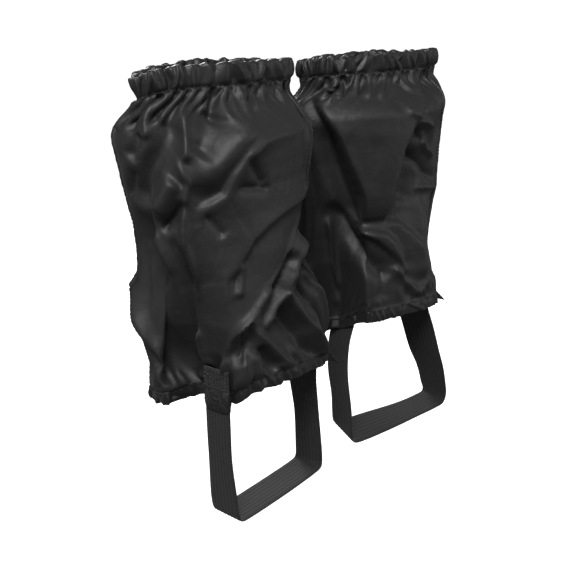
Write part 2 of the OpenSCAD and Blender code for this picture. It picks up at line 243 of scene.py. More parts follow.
def along_path(s, q, path):
    """Distance from a path in mm, which side of it, and how far along it, for arrays of s and q."""
    pts = np.array(path, float)
    s0 = pts[0, 0]
    pu, pv = (pts[:, 0] - s0) * STEP_MM, pts[:, 1]
    u, v = around(s, s0) * STEP_MM, np.asarray(q, float)
    total = np.hypot(np.diff(pu), np.diff(pv)).sum()
    best, side, at = np.full(u.shape, 1e9), np.zeros(u.shape), np.zeros(u.shape)
    run = 0.0
    for k in range(len(pts) - 1):
        du, dv = pu[k + 1] - pu[k], pv[k + 1] - pv[k]
        long = math.hypot(du, dv)
        t = ((u - pu[k]) * du + (v - pv[k]) * dv) / long ** 2
        tc = np.clip(t, 0, 1)
        d = np.hypot(u - pu[k] - tc * du, v - pv[k] - tc * dv)
        near = d < best
        cross = (du * (v - pv[k]) - dv * (u - pu[k])) / long
        best = np.where(near, d, best)
        side = np.where(near, cross, side)
        at = np.where(near, (run + t * long) / total, at)
        run += long
    return best, side, at


def folds(side_name, s, q):
    out = np.zeros(np.broadcast(s, q).shape)
    s, q = np.broadcast_arrays(s, q)
    for kind, path, high, wide, last in FOLDS[side_name]:
        d, side, at = along_path(s, q, path)
        ends = smooth((at + 0.12) / 0.24) * smooth((1.12 - at) / 0.24)
        if kind == "ridge" and last > 1.15:
            high, wide = high * 1.2, wide * 0.78
        if kind == "ridge":
            if last > 1.15:
                out += high * np.exp(-(np.sqrt(d * d + 1.6) - 1.26) / (0.62 * wide)) * ends
            else:
                out += high * bell(d / wide) * ends
        else:
            # side is positive towards more depth for a path running towards more s
            step = np.tanh(side / wide)
            out += high * 0.5 * step * np.exp(-np.abs(side) / last) * ends * np.where(d < 3 * last, 1, 0) * np.exp(-np.clip(d - np.abs(side), 0, None) / 8)
    for rows, wl, wr in BANDS[side_name]:
        rows = np.array(rows, float)
        a, b, high = (np.interp(q, rows[:, 0], rows[:, k]) for k in (1, 2, 3))
        mid = (a + b) / 2
        off = around(s, mid)
        left = smooth((off + (b - a) / 2) * STEP_MM / wl + 0.5)
        right = smooth(((b - a) / 2 - off) * STEP_MM / wr + 0.5)
        out += high * left * right * (q >= rows[0, 0]) * (q <= rows[-1, 0])
    return out * smooth(q / 30) * smooth((228 - q) / 12 + 0.25)


def trim(side_name, s, q):
    """Slow changes of the outline that both the cloth and its casings follow, in mm outwards."""
    if side_name == "left":
        return (-9.5 * bell(around(s, 9.2) / 3.0) * smooth((q - 172) / 46)
                - 6.5 * bell(around(s, 10.6) / 1.8) * bell((q - 13) / 8)
                - 3.0 * bell(around(s, 13.0) / 1.2) * smooth((q - 170) / 50)
                + 1.0 * bell(around(s, 9.4) / 2.0) * bell((q - 142) / 32)
                + 7.0 * bell(around(s, 10.0) / 1.9) * bell((q - 33) / 14)
                - 9.0 * bell(around(s, 21.6) / 2.0) * bell((q - 135) / 38))
    return (-14.0 * bell(around(s, 22.1) / 2.4) * smooth((q - 130) / 60)
            - 3.0 * bell(around(s, 22.0) / 2.0) * bell((q - 72) / 36)
            - 2.0 * bell(around(s, 15.4) / 2.2) * smooth((q - 160) / 55)
            + 4.0 * bell(around(s, 22.6) / 1.6) * bell((q - 38) / 14)
            - 3.0 * bell(around(s, 11.0) / 1.8) * smooth((48 - q) / 30)
            - 3.0 * bell(around(s, 10.6) / 1.6) * smooth((q - 150) / 70))


def place(side_name, s, q, r=0.0):
    """A point on the outline at step s and depth q, r mm outside it, in the row frame in mm."""
    s, q, r = np.broadcast_arrays(np.asarray(s, float), np.asarray(q, float), np.asarray(r, float))
    qo = np.clip(q, CASING_H, BODY_H - HEM_H)
    p = plan(s, qo)
    e = plan(s + 0.02, qo) - plan(s - 0.02, qo)
    e /= np.linalg.norm(e, axis=-1, keepdims=True)
    r = r + trim(side_name, s, q)
    x, y = p[..., 0] + r * e[..., 1], p[..., 1] - r * e[..., 0]
    z = -q
    if side_name == "left":
        z = z - 7.5 * bell(around(s, 11.2) / 2.4) * smooth((90 - q) / 90) + 2.8 * bell(around(s, 5.2) / 2.8) * smooth((70 - q) / 70)
        z = z - 9.0 * smooth((around(s, 9.0)) / 2.4) * smooth((16.4 - s % 24) / 0.9) * smooth((q - 150) / 80)
        z = z - 12.0 * bell(around(s, 21.2) / 2.4) * smooth((q - 165) / 62)
    else:
        z = z - 14.0 * smooth(around(s, 9.0) / 3.0) * smooth((15.8 - s % 24) / 1.8) * smooth((q - 160) / 68)
        z = z + 2.5 * bell(around(s, 17.4) / 2.0) * smooth((q - 180) / 50) - 4.0 * bell(around(s, 21.6) / 1.5) * smooth((q - 180) / 50)
        z = z + 2.0 * bell(around(s, 22) / 3.0) * smooth((70 - q) / 70) - 3.0 * bell(around(s, 11.2) / 2.4) * smooth((90 - q) / 90) + 3.0 * bell(around(s, 4.6) / 2.6) * smooth((70 - q) / 70)
        x = x + 3.0 * smooth((60 - q) / 60)
        y = y - 3.0 * smooth((60 - q) / 60)
    return turn(side_name, np.stack([x, y, z], -1))


def turn(side_name, p):
    deg, at = PLACE[side_name]
    a = math.radians(deg)
    c, n = math.cos(a), math.sin(a)
    out = np.array(p, float)
    out[..., 0] = c * p[..., 0] - n * p[..., 1] + at[0]
    out[..., 1] = n * p[..., 0] + c * p[..., 1] + at[1]
    return out


def seam_path(side_name, q, which):
    """Where the two side seams run: 0 is by the flat fin, 1 the plain one."""
    if which == 1:
        return 10.0 + 0.25 * np.sin(q / 60)
    return 22.0 - 1.0 * smooth((225 - q) / 60) - 0.3 * bell((q - 130) / 40)


# ---------------------------------------------------------------- gathers
def gather(seed, count, amp=(0.55, 1.0), slant=0.25):
    r = np.random.default_rng(seed)
    w = r.uniform(0.55, 1.5, count)
    c = np.cumsum(w) / w.sum() * 24
    return {"c": c, "w": 24 * w / w.sum() * 0.62, "a": r.uniform(*amp, count), "k": r.normal(0, slant, count),
            "b": r.normal(0, slant, count),
            "e": r.uniform(-0.4, 0.4, count)}


def wave(g, s, v):
    """0 in the valleys to 1 on the pleats: rounded tops with sharp valleys between them."""
    s, v = np.broadcast_arrays(np.asarray(s, float), np.asarray(v, float))
    out = np.zeros(s.shape)
    for c, w, a, k, b, e in zip(g["c"], g["w"], g["a"], g["k"], g["b"], g["e"]):
        x = around(s, c + k * (v - 0.5) + b * (v - 0.5) ** 2) / w
        x = x + e * (1 - x * x)
        out = np.maximum(out, a * np.clip(1 - np.abs(x) ** 1.35, 0, 1))
    return out


# ---------------------------------------------------------------- cloth
class Cloth:
    """A woven tube as a grid of points that keeps its thread lengths, relaxed by position."""

    def __init__(self, rows, cols, target, spare_x, spare_y, stiff):
        self.R, self.C = rows, cols
        n = np.arange(rows * cols).reshape(rows, cols)
        self.groups = []

        flat = target.reshape(-1, 3)
        sx = np.repeat(spare_x[:, None], cols, 1).ravel()
        stiff = np.repeat(stiff[:, None], cols, 1).ravel()

        def even(e):
            for _ in range(3):
                e = (np.roll(e, 1, 1) + 2 * e + np.roll(e, -1, 1)) / 4
            return e

        ex = even(np.linalg.norm(np.roll(target, -1, 1) - target, axis=2))
        ex = 0.85 * ex + 0.15 * ex.mean(1, keepdims=True)
        ey = even(np.linalg.norm(np.diff(target, axis=0), axis=2))
        ey = np.concatenate([ey, ey[-1:]]) * (1 + spare_y)
        dxa, dya = (ex * spare_x[:, None]).ravel(), ey.ravel()
        self.area = float((ex * spare_x[:, None] * ey)[:-1].sum())

        def add(a, b, rest, k, floor=None):
            a, b = a.ravel(), b.ravel()
            if floor is None:
                m, v = 0.5 * (dxa[a] + dxa[b]) * rest[0], 0.5 * (dya[a] + dya[b]) * rest[1]
                want = np.hypot(m, v)
            else:
                # never closer than this share of their distance on the outline
                straight = np.linalg.norm(flat[b] - flat[a], axis=1)
                loose = 0.5 * (dxa[a] + dxa[b]) * rest[0] + 0.5 * (dya[a] + dya[b]) * rest[1]
                h = 0.5 * (stiff[a] + stiff[b])
                want = h * straight * floor[1] + (1 - h) * loose * floor[0]
            self.groups.append((a, b, want.astype(np.float32), np.float32(k), floor is not None))

        nx = lambda m: np.roll(n, -m, 1)
        for p in (0, 1):
            add(n[:, p::2], nx(1)[:, p::2], (1, 0), 1.0)
            add(n[p:-1:2], n[p + 1::2][: len(n[p:-1:2])], (0, 1), 1.0)
        for p in (0, 1):
            rows_a = n[p:-1:2]
            for m in (1, -1):
                add(rows_a, np.roll(n, -m, 1)[p + 1::2][: len(rows_a)], (1, 1), 0.3)
        for span, k, keep in ((2, 0.8, (0.93, 0.975)), (4, 0.5, (0.82, 0.985)), (8, 0.35, (0.62, 0.99)), (16, 0.35, (0.45, 0.995))):
            j = np.arange(cols)
            for p in (0, 1):
                pick = j[(j // span) % 2 == p]
                add(n[:, pick], nx(span)[:, pick], (span, 0), k, keep)
            i = np.arange(rows - span)
            for p in (0, 1):
                pick = i[(i // span) % 2 == p]
                add(n[pick], n[pick + span], (0, span), k, keep)

    def run(self, x, target, normal, hold, steps, pull, low=-8.0, high=5.0, weight=0.012):
        shape = x.shape
        x = x.astype(np.float32).reshape(-1, 3).copy()
        t = target.astype(np.float32).reshape(-1, 3)
        nrm = normal.astype(np.float32).reshape(-1, 3)
        w = (1 - hold).astype(np.float32).reshape(-1)
        pulls = (pull * (1 - hold)).astype(np.float32).reshape(-1, 1)
        held = hold.reshape(-1) > 0.99
        start = x[held].copy()
        before = x.copy()
        for step in range(steps):
            v = (x - before) * np.float32(0.9)
            before = x.copy()
            x += v * w[:, None]
            x[:, 2] -= np.float32(weight) * w
            for a, b, rest, k, floor in self.groups:
                d = x[b] - x[a]
                long = np.sqrt((d * d).sum(1)) + np.float32(1e-6)
                c = (long - rest) / long * k
                if floor:
                    c = np.minimum(c, 0)
                wa, wb = w[a], w[b]
                c /= np.maximum(wa + wb, np.float32(1e-6))
                d *= c[:, None]
                x[a] += d * wa[:, None]
                x[b] -= d * wb[:, None]
            if step % 3 == 0:
                g = x.reshape(shape)
                pad = np.concatenate([g[:1].repeat(4, 0), g, g[-1:].repeat(4, 0)])
                soft = sum(pad[k:k + shape[0]] for k in range(9)) / 9
                soft = sum(np.roll(soft, k, 1) for k in range(-4, 5)) / 9
                x += (t - soft.reshape(-1, 3)) * pulls
                out = ((x - t) * nrm).sum(1)
                x += nrm * (np.clip(out, low, high) - out)[:, None] * np.float32(0.6) * w[:, None]
            x[held] = start
        return x.reshape(shape).astype(float)


def spread_along(points, count):
    """count points at equal steps along a closed line of points, starting at the first."""
    ring = np.concatenate([points, points[:1]])
    at = np.concatenate([[0], np.cumsum(np.linalg.norm(np.diff(ring, axis=0), axis=1))])
    want = np.linspace(0, at[-1], count + 1)[:-1]
    return np.stack([np.interp(want, at, ring[:, k]) for k in range(3)], 1), at[-1]


ROWS, COLS = 124, 288
FLAT_W, FLAT_H = 0.486, 0.221      # the whole tube of cloth, laid flat and cut open
TOP_Q, LOW_Q = 14.9, 226.0


def columns(side_name, q):
    """s of each column at depth q: equal lengths of cloth in each of the two panels."""
    s0, s1 = float(seam_path(side_name, q, 0)) - 24, float(seam_path(side_name, q, 1))
    out = []
    for a, b in ((s0, s1), (s1, s0 + 24)):
        s = np.linspace(a, b, 400)
        p = place(side_name, s, np.full(400, q))
        at = np.concatenate([[0], np.cumsum(np.linalg.norm(np.diff(p, axis=0), axis=1))])
        out.append(np.interp(np.linspace(0, at[-1], COLS // 2 + 1)[:-1], at, s))
    return np.concatenate(out)


def normals_of(x):
    du = np.roll(x, -1, 1) - np.roll(x, 1, 1)
    dv = np.gradient(x, axis=0)
    n = np.cross(dv, du)
    return n / np.maximum(np.linalg.norm(n, axis=2, keepdims=True), 1e-9)


def body_cloth(side_name, seed):
    """The gathered body between its casings: a grid of points, row 0 at the calf gather line."""
    q = np.linspace(TOP_Q, LOW_Q, ROWS)
    s = np.stack([columns(side_name, k) for k in q])
    qq = np.repeat(q[:, None], COLS, 1)
    target = place(side_name, s, qq, folds(side_name, s, qq))
    normal = normals_of(target)
    r = np.random.default_rng(seed)
    # pleats that start at each gather line and fade into the body
    g1, g2 = GATHER[side_name]["top"], GATHER[side_name]["low"]
    fade1 = np.exp(-(qq - TOP_Q) / mix(5.0, 20.0, r.random(COLS)[None, :] ** 3))
    fade2 = np.exp(-(LOW_Q - qq) / mix(6.0, 18.0, r.random(COLS)[None, :] ** 2))
    for k in (fade1, fade2):
        for _ in range(6):
            k[:] = (np.roll(k, 1, 1) + 2 * k + np.roll(k, -1, 1)) / 4
    lift = 4.2 * (wave(g1, s, 1.0 + (qq - TOP_Q) / 40) - 0.5) * fade1 + 3.0 * (wave(g2, s, (LOW_Q - qq) / 30) - 0.5) * fade2
    x = target + normal * lift[..., None]
    x[0] = place(side_name, s[0], qq[0], calf_edge(side_name, s[0]))
    x[-1] = place(side_name, s[-1], qq[-1], hem_edge(side_name, s[-1]))
    noise = r.normal(0, 1, (ROWS, COLS))
    for _ in range(10):
        noise = (np.roll(noise, 1, 1) + 2 * noise + np.roll(noise, -1, 1)) / 4
        noise[1:-1] = (noise[:-2] + 2 * noise[1:-1] + noise[2:]) / 4
    x = x + normal * (noise / noise.std() * 0.35 * smooth((qq - TOP_Q) / 20) * smooth((LOW_Q - qq) / 20))[..., None]
    hold = np.zeros((ROWS, COLS))
    hold[0] = hold[-1] = 1
    base = place(side_name, s, qq)
    round_mm = np.linalg.norm(np.roll(base, -1, 1) - base, axis=2).sum(1)
    full = round_mm[(q > 50) & (q < 70)].mean() * 1.01
    spare = 1.0 + 0.36 * np.exp(-(q - TOP_Q) / 8.5) + 0.12 * smooth((q - 208) / 16)
    stiff = smooth((q - 20) / 28) * smooth((222 - q) / 22)
    cloth = Cloth(ROWS, COLS, target, spare, 0.005, stiff)
    pull = np.repeat((0.04 + 0.14 * stiff)[:, None], COLS, 1)
    x = cloth.run(x, target, normal, hold, SIM_STEPS, pull)
    # between the gathers the cloth lies in the large folds, without fine buckles
    d = x - target
    soft = d.copy()
    for _ in range(60):
        soft = (np.roll(soft, 1, 1) + 2 * soft + np.roll(soft, -1, 1)) / 4
        soft[1:-1] = (soft[:-2] + 2 * soft[1:-1] + soft[2:]) / 4
    calm = (0.9 * smooth((q - 20) / 22) * smooth((218 - q) / 18))[:, None, None]
    x = target + mix(d, soft, calm)
    return x, s, qq


GATHER = {
    "left": {"top": gather(11, 40, (0.4, 1.0), 0.34), "low": gather(12, 58, (0.3, 1.0), 0.2)},
    "right": {"top": gather(21, 40, (0.4, 1.0), 0.34), "low": gather(22, 58, (0.3, 1.0), 0.2)},
}
SIM_STEPS = 200


def calf_edge(side_name, s):
    """How far the calf gather line stands out, in mm: the cloth's top edge and the casing's lower edge."""
    return 0.5 + 2.8 * wave(GATHER[side_name]["top"], s, 1.0)


def flat_by_tab(s):
    return 1 - 0.8 * bell(around(s, 15.0) / 1.0)


def hem_edge(side_name, s):
    return 0.4 + 2.0 * wave(GATHER[side_name]["low"], s, 0.0) * flat_by_tab(s)


# ---------------------------------------------------------------- mesh building
def new_mesh(name, verts, faces, pattern=None, smooth_shade=True):
    me = bpy.data.meshes.new(name)
    me.from_pydata((np.asarray(verts, float) / 1000).tolist(), [], [tuple(int(i) for i in f) for f in faces])
    me.update()
    if smooth_shade:
        me.polygons.foreach_set("use_smooth", np.ones(len(me.polygons), bool))
    if pattern is not None:
        a = me.attributes.new("pattern", "FLOAT_VECTOR", "POINT")
        a.data.foreach_set("vector", np.asarray(pattern, np.float32).ravel())
    ob = bpy.data.objects.new(name, me)
    bpy.context.scene.collection.objects.link(ob)
    return ob


def grid_faces(rows, cols, wrap_rows=False, wrap_cols=False):
    i = np.arange(rows if wrap_rows else rows - 1)
    j = np.arange(cols if wrap_cols else cols - 1)
    i, j = np.meshgrid(i, j, indexing="ij")
    i2, j2 = (i + 1) % rows, (j + 1) % cols
    return np.stack([i * cols + j, i * cols + j2, i2 * cols + j2, i2 * cols + j], -1).reshape(-1, 4)


def closed_shell(name, x, thick, pattern, flip=False):
    """A sheet of points with real thickness: outer face, inner face and the strip round its edge."""
    rows, cols = x.shape[:2]
    du = np.gradient(x, axis=1)
    dv = np.gradient(x, axis=0)
    n = np.cross(dv, du)
    n /= np.maximum(np.linalg.norm(n, axis=2, keepdims=True), 1e-9)
    inner = x - n * thick
    f = grid_faces(rows, cols)
    off = rows * cols
    ring = np.concatenate([np.arange(cols), np.arange(1, rows) * cols + cols - 1,
                           (rows - 1) * cols + np.arange(cols - 2, -1, -1), np.arange(rows - 2, 0, -1) * cols])
    nxt = np.roll(ring, -1)
    edge = np.stack([ring, ring + off, nxt + off, nxt], -1)
    faces = np.concatenate([f[:, ::-1], f + off, edge[:, ::-1]])
    if flip:
        faces = faces[:, ::-1]
    return new_mesh(name, np.concatenate([x.reshape(-1, 3), inner.reshape(-1, 3)]), faces,
                    np.concatenate([pattern.reshape(-1, 3)] * 2))


def tube(name, line, radius, sides=6, closed=False, pattern_scale=1.0):
    """A round thread along points."""
    p = np.asarray(line, float)
    t = np.gradient(p, axis=0) if not closed else np.roll(p, -1, 0) - np.roll(p, 1, 0)
    t /= np.maximum(np.linalg.norm(t, axis=1, keepdims=True), 1e-9)
    up = np.array([0, 0, 1.0])
    a = np.cross(t, up)
    a /= np.maximum(np.linalg.norm(a, axis=1, keepdims=True), 1e-9)
    b = np.cross(t, a)
    k = np.arange(sides) / sides * 2 * np.pi
    v = p[:, None] + radius * (np.cos(k)[None, :, None] * a[:, None] + np.sin(k)[None, :, None] * b[:, None])
    return v


def stitches(name, places, across, out, length=2.1, thick=0.5):
    """Separate thread stitches: a small rounded bar at each place, along its direction."""
    rings, sides = 5, 6
    u = np.linspace(-1, 1, rings)
    prof = np.sqrt(np.clip(1 - u ** 4, 0.02, 1))
    k = np.arange(sides) / sides * 2 * np.pi
    verts, faces = [], []
    for p, a, o in zip(places, across, out):
        a = a / np.linalg.norm(a)
        o = o - a * (o @ a)
        o = o / np.linalg.norm(o)
        b = np.cross(a, o)
        base = len(verts) * rings * sides
        ring = (p[None, None] + (u * length / 2)[:, None, None] * a
                + (prof * thick / 2)[:, None, None] * (np.cos(k)[None, :, None] * o + np.sin(k)[None, :, None] * b)
                - (0.35 * thick * u ** 4)[:, None, None] * o)
        verts.append(ring.reshape(-1, 3))
        f = grid_faces(rings, sides, wrap_cols=True) + base
        faces.extend(f.tolist())
        faces.append([base + j for j in range(sides)][::-1])
        faces.append([base + (rings - 1) * sides + j for j in range(sides)])
    return new_mesh(name, np.concatenate(verts), faces)


# ---------------------------------------------------------------- materials
def material(name):
    m = bpy.data.materials.new(name)
    m.use_nodes = True
    nt = m.node_tree
    for n in list(nt.nodes):
        nt.nodes.remove(n)
    out = nt.nodes.new("ShaderNodeOutputMaterial")
    sh = nt.nodes.new("ShaderNodeBsdfPrincipled")
    nt.links.new(sh.outputs[0], out.inputs[0])
    return m, nt, sh


class Nodes:
    def __init__(self, nt):
        self.nt = nt

    def add(self, kind, **props):
        n = self.nt.nodes.new(kind)
        for k, v in props.items():
            setattr(n, k, v)
        return n

    def link(self, a, b):
        self.nt.links.new(a, b)

    def math(self, op, a, b=None, c=None, clamp=False):
        n = self.add("ShaderNodeMath", operation=op, use_clamp=clamp)
        for i, v in enumerate((a, b, c)):
            if v is None:
                continue
            if isinstance(v, (int, float)):
                n.inputs[i].default_value = v
            else:
                self.link(v, n.inputs[i])
        return n.outputs[0]

    def noise(self, vec, scale, detail=2.0, rough=0.5, distortion=0.0):
        n = self.add("ShaderNodeTexNoise")
        n.inputs["Scale"].default_value = scale
        n.inputs["Detail"].default_value = detail
        n.inputs["Roughness"].default_value = rough
        n.inputs["Distortion"].default_value = distortion
        self.link(vec, n.inputs["Vector"])
        return n.outputs["Fac"]

    def ramp(self, fac, stops):
        n = self.add("ShaderNodeValToRGB")
        e = n.color_ramp.elements
        while len(e) < len(stops):
            e.new(0.5)
        for el, (pos, col) in zip(e, stops):
            el.position = pos
            el.color = (*col, 1)
        self.link(fac, n.inputs[0])
        return n.outputs["Color"]

    def bump(self, height, strength, distance, normal=None):
        n = self.add("ShaderNodeBump")
        n.inputs["Strength"].default_value = strength
        n.inputs["Distance"].default_value = distance
        self.link(height, n.inputs["Height"])
        if normal is not None:
            self.link(normal, n.inputs["Normal"])
        return n.outputs["Normal"]


def nylon(name, base=0.0130, rough=0.55, weave=0.0011, crumple=1.0, sheen=0.04, weave_depth=0.00010):
    """Plain-woven nylon: fine crossing threads, small creases, slow changes of tone and gloss."""
    m, nt, sh = material(name)
    k = Nodes(nt)
    at = k.add("ShaderNodeAttribute", attribute_name="pattern")
    sep = k.add("ShaderNodeSeparateXYZ")
    k.link(at.outputs["Vector"], sep.inputs[0])
    obj = k.add("ShaderNodeTexCoord").outputs["Object"]
    warp = k.math("SINE", k.math("MULTIPLY", sep.outputs[0], 2 * math.pi / weave))
    weft = k.math("SINE", k.math("MULTIPLY", sep.outputs[1], 2 * math.pi / weave))
    over = k.math("MULTIPLY", warp, weft)
    rip_u = k.math("POWER", k.math("ABSOLUTE", k.math("COSINE", k.math("MULTIPLY", sep.outputs[0], math.pi / (weave * 5)))), 24.0)
    rip_v = k.math("POWER", k.math("ABSOLUTE", k.math("COSINE", k.math("MULTIPLY", sep.outputs[1], math.pi / (weave * 5)))), 24.0)
    rip = k.math("MAXIMUM", rip_u, rip_v)
    threads = k.math("ADD", k.math("MULTIPLY", over, 0.5), k.math("MULTIPLY", rip, 0.35))
    big = k.noise(obj, 26.0, 3.0, 0.55)
    mid = k.noise(obj, 120.0, 3.0, 0.6, 0.4)
    fine = k.noise(obj, 900.0, 2.0, 0.6)
    tone = k.math("ADD", k.math("MULTIPLY", big, 0.55), k.math("ADD", k.math("MULTIPLY", mid, 0.25), k.math("MULTIPLY", over, 0.10)))
    tone = k.math("ADD", tone, k.math("MULTIPLY", rip, 0.06))
    b = base
    col = k.ramp(tone, [(0.15, (b * 0.78, b * 0.78, b * 0.80)), (0.5, (b, b, b * 1.01)), (0.85, (b * 1.32, b * 1.31, b * 1.32))])
    k.link(col, sh.inputs["Base Color"])
    r = k.math("ADD", k.math("MULTIPLY", big, 0.14), k.math("MULTIPLY", fine, 0.10))
    r = k.math("ADD", r, rough - 0.12)
    k.link(r, sh.inputs["Roughness"])
    dents = k.noise(obj, 64.0, 4.0, 0.6, 1.4)
    n0 = k.bump(dents, 0.30 * crumple, 0.0016)
    n1 = k.bump(mid, 0.30 * crumple, 0.0010, n0)
    n2 = k.bump(threads, 0.5, weave_depth, n1)
    k.link(n2, sh.inputs["Normal"])
    sh.inputs["Specular IOR Level"].default_value = 0.42
    sh.inputs["Sheen Weight"].default_value = sheen
    sh.inputs["Sheen Roughness"].default_value = 0.45
    sh.inputs["Sheen Tint"].default_value = (0.8, 0.82, 0.86, 1)
    return m


def webbing_material(name, base=0.014):
    """Ribbed narrow weave: threads cross each rib. The ribs' tops and the crossing threads are painted lighter and the
    grooves between them darker, as painted shade; the noise adds random tone.
    """
    m, nt, sh = material(name)
    k = Nodes(nt)
    at = k.add("ShaderNodeAttribute", attribute_name="pattern")
    sep = k.add("ShaderNodeSeparateXYZ")
    k.link(at.outputs["Vector"], sep.inputs[0])
    obj = k.add("ShaderNodeTexCoord").outputs["Object"]
    rib = k.math("ABSOLUTE", k.math("COSINE", k.math("MULTIPLY", sep.outputs[0], math.pi / 0.00375)))
    cross = k.math("SINE", k.math("MULTIPLY", sep.outputs[1], 2 * math.pi / 0.0024))
    cross = k.math("ADD", k.math("MULTIPLY", cross, 0.5), 0.5)
    fine = k.noise(obj, 1400.0, 2.0, 0.6)
    big = k.noise(obj, 60.0, 3.0, 0.55)
    # painted shade: the colour follows the rib and thread heights, lighter on their tops and darker in the grooves;
    # the noise terms are random tone
    tone = k.math("ADD", k.math("MULTIPLY", rib, 0.34), k.math("ADD", k.math("MULTIPLY", cross, 0.22), k.math("MULTIPLY", fine, 0.26)))
    tone = k.math("ADD", tone, k.math("MULTIPLY", big, 0.14))
    b = base
    col = k.ramp(tone, [(0.12, (b * 0.45, b * 0.45, b * 0.46)), (0.5, (b * 0.95, b * 0.95, b * 0.96)), (0.85, (b * 1.7, b * 1.7, b * 1.7))])
    k.link(col, sh.inputs["Base Color"])
    r = k.math("ADD", k.math("MULTIPLY", fine, 0.12), 0.62)
    k.link(r, sh.inputs["Roughness"])
    h = k.math("ADD", k.math("MULTIPLY", rib, 0.5), k.math("ADD", k.math("MULTIPLY", cross, 0.35), k.math("MULTIPLY", fine, 0.25)))
    k.link(k.bump(h, 0.7, 0.0005), sh.inputs["Normal"])
    sh.inputs["Specular IOR Level"].default_value = 0.3
    sh.inputs["Sheen Weight"].default_value = 0.12
    sh.inputs["Sheen Roughness"].default_value = 0.5
    return m


def thread_material(name, base=0.03):
    m, nt, sh = material(name)
    k = Nodes(nt)
    obj = k.add("ShaderNodeTexCoord").outputs["Object"]
    w = k.add("ShaderNodeTexWave", wave_type="BANDS", bands_direction="DIAGONAL")
    w.inputs["Scale"].default_value = 900.0
    w.inputs["Distortion"].default_value = 1.0
    k.link(obj, w.inputs["Vector"])
    n = k.noise(obj, 500.0, 2.0, 0.5)
    tone = k.math("ADD", k.math("MULTIPLY", w.outputs["Fac"], 0.5), k.math("MULTIPLY", n, 0.5))
    col = k.ramp(tone, [(0.2, (base * 0.6,) * 3), (0.8, (base * 1.5,) * 3)])
    k.link(col, sh.inputs["Base Color"])
    k.link(k.bump(w.outputs["Fac"], 0.4, 0.0001), sh.inputs["Normal"])
    k.link(k.math("ADD", k.math("MULTIPLY", n, 0.2), 0.38), sh.inputs["Roughness"])
    return m


def elastic_material(name, base=0.05):
    m, nt, sh = material(name)
    k = Nodes(nt)
    obj = k.add("ShaderNodeTexCoord").outputs["Object"]
    w = k.add("ShaderNodeTexWave", wave_type="BANDS", bands_direction="Z")
    w.inputs["Scale"].default_value = 420.0
    k.link(obj, w.inputs["Vector"])
    n = k.noise(obj, 700.0, 2.0, 0.6)
    tone = k.math("ADD", k.math("MULTIPLY", w.outputs["Fac"], 0.6), k.math("MULTIPLY", n, 0.4))
    col = k.ramp(tone, [(0.2, (base * 0.6,) * 3), (0.8, (base * 1.4,) * 3)])
    k.link(col, sh.inputs["Base Color"])
    k.link(k.bump(w.outputs["Fac"], 0.5, 0.0003), sh.inputs["Normal"])
    k.link(k.math("ADD", k.math("MULTIPLY", n, 0.15), 0.68), sh.inputs["Roughness"])
    return m


MAT = {
    "nylon": nylon("gaiter_nylon"),
    "nylon_casing": nylon("casing_nylon", base=0.011, rough=0.44, crumple=0.7),
    "nylon_seam": nylon("seam_nylon", base=0.012, rough=0.45, crumple=0.5),
    "webbing": webbing_material("ribbed_webbing"),
    "thread": thread_material("sewing_thread"),
    "elastic": elastic_material("flat_elastic"),
}


def dress(ob, slot):
    ob.data.materials.clear()
    ob.data.materials.append(MAT[slot])
    return ob


for name, ob in frame["nodes"].items():
    for s in ob.material_slots:
        s.material = MAT["elastic"] if name.endswith("elastic") else MAT["nylon"]


# ---------------------------------------------------------------- pieces
def calf_casing(side_name):
    """The gathered tunnel round the top, with the flat elastic inside it."""
    g = GATHER[side_name]["top"]
    ns, npr = 640, 34
    s = np.arange(ns) / ns * 24
    # the section runs up the outer face, over the rim and down the inner face
    t = np.linspace(0, 1, npr)
    up = np.clip(t / 0.46, 0, 1)
    down = np.clip((t - 0.54) / 0.46, 0, 1)
    turn_over = np.clip((t - 0.46) / 0.08, 0, 1)
    v = np.where(t < 0.5, 1 - up, down)              # 0 at the rim, 1 at the lower edge
    S, V = np.meshgrid(s, v, indexing="ij")
    w = wave(g, S, V)
    puff = 0.62 + 0.38 * np.sin(np.pi * np.clip(V / 0.95, 0, 1)) ** 0.7
    edge = smooth((V - 0.78) / 0.2)
    r_out = mix(0.3 + 6.4 * w * puff, 0.3 + 2.6 * w, edge)
    outside = np.cos(np.pi * turn_over)[None, :]
    R = r_out * outside * np.where(np.abs(outside) < 0.999, 0.9, 1)
    rim = 15.3 * V - 2.6 * (w - 0.4) * (1 - V) ** 2 - 0.6 * np.sin(np.pi * turn_over)[None, :]
    x = place(side_name, S, rim, R)
    u = np.concatenate([[0], np.cumsum(np.abs(np.diff(v)) * 17 + 0.4)])
    pat = np.stack([S / 24 * 0.486, np.broadcast_to(u[None, :] / 1000, S.shape), 0 * S], -1)
    ob = new_mesh(f"{side_name}_calf_tunnel", x.reshape(-1, 3), grid_faces(ns, npr, wrap_rows=True, wrap_cols=True), pat.reshape(-1, 3))
    dress(ob, "nylon_casing")
    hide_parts(f"{side_name}_calf_casing")
    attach(ob, f"{side_name}_gaiter")
    # the gather stitches, on the pinched line
    line_s = np.arange(0, 24, 24 / 128.0)
    rr = lambda k: 0.3 + 2.4 * wave(g, k, 0.95) + 0.25
    p = place(side_name, line_s, np.full(line_s.shape, 14.4), rr(line_s))
    q2 = place(side_name, line_s + 0.02, np.full(line_s.shape, 14.4), rr(line_s + 0.02))
    outw = place(side_name, line_s, np.full(line_s.shape, 14.6), 10) - place(side_name, line_s, np.full(line_s.shape, 14.6), 0)
    st = stitches(f"{side_name}_calf_stitches", p, q2 - p, outw, 2.0, 0.55)
    dress(st, "thread")
    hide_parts(f"{side_name}_calf_stitching")
    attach(st, f"{side_name}_gaiter")
    return ob


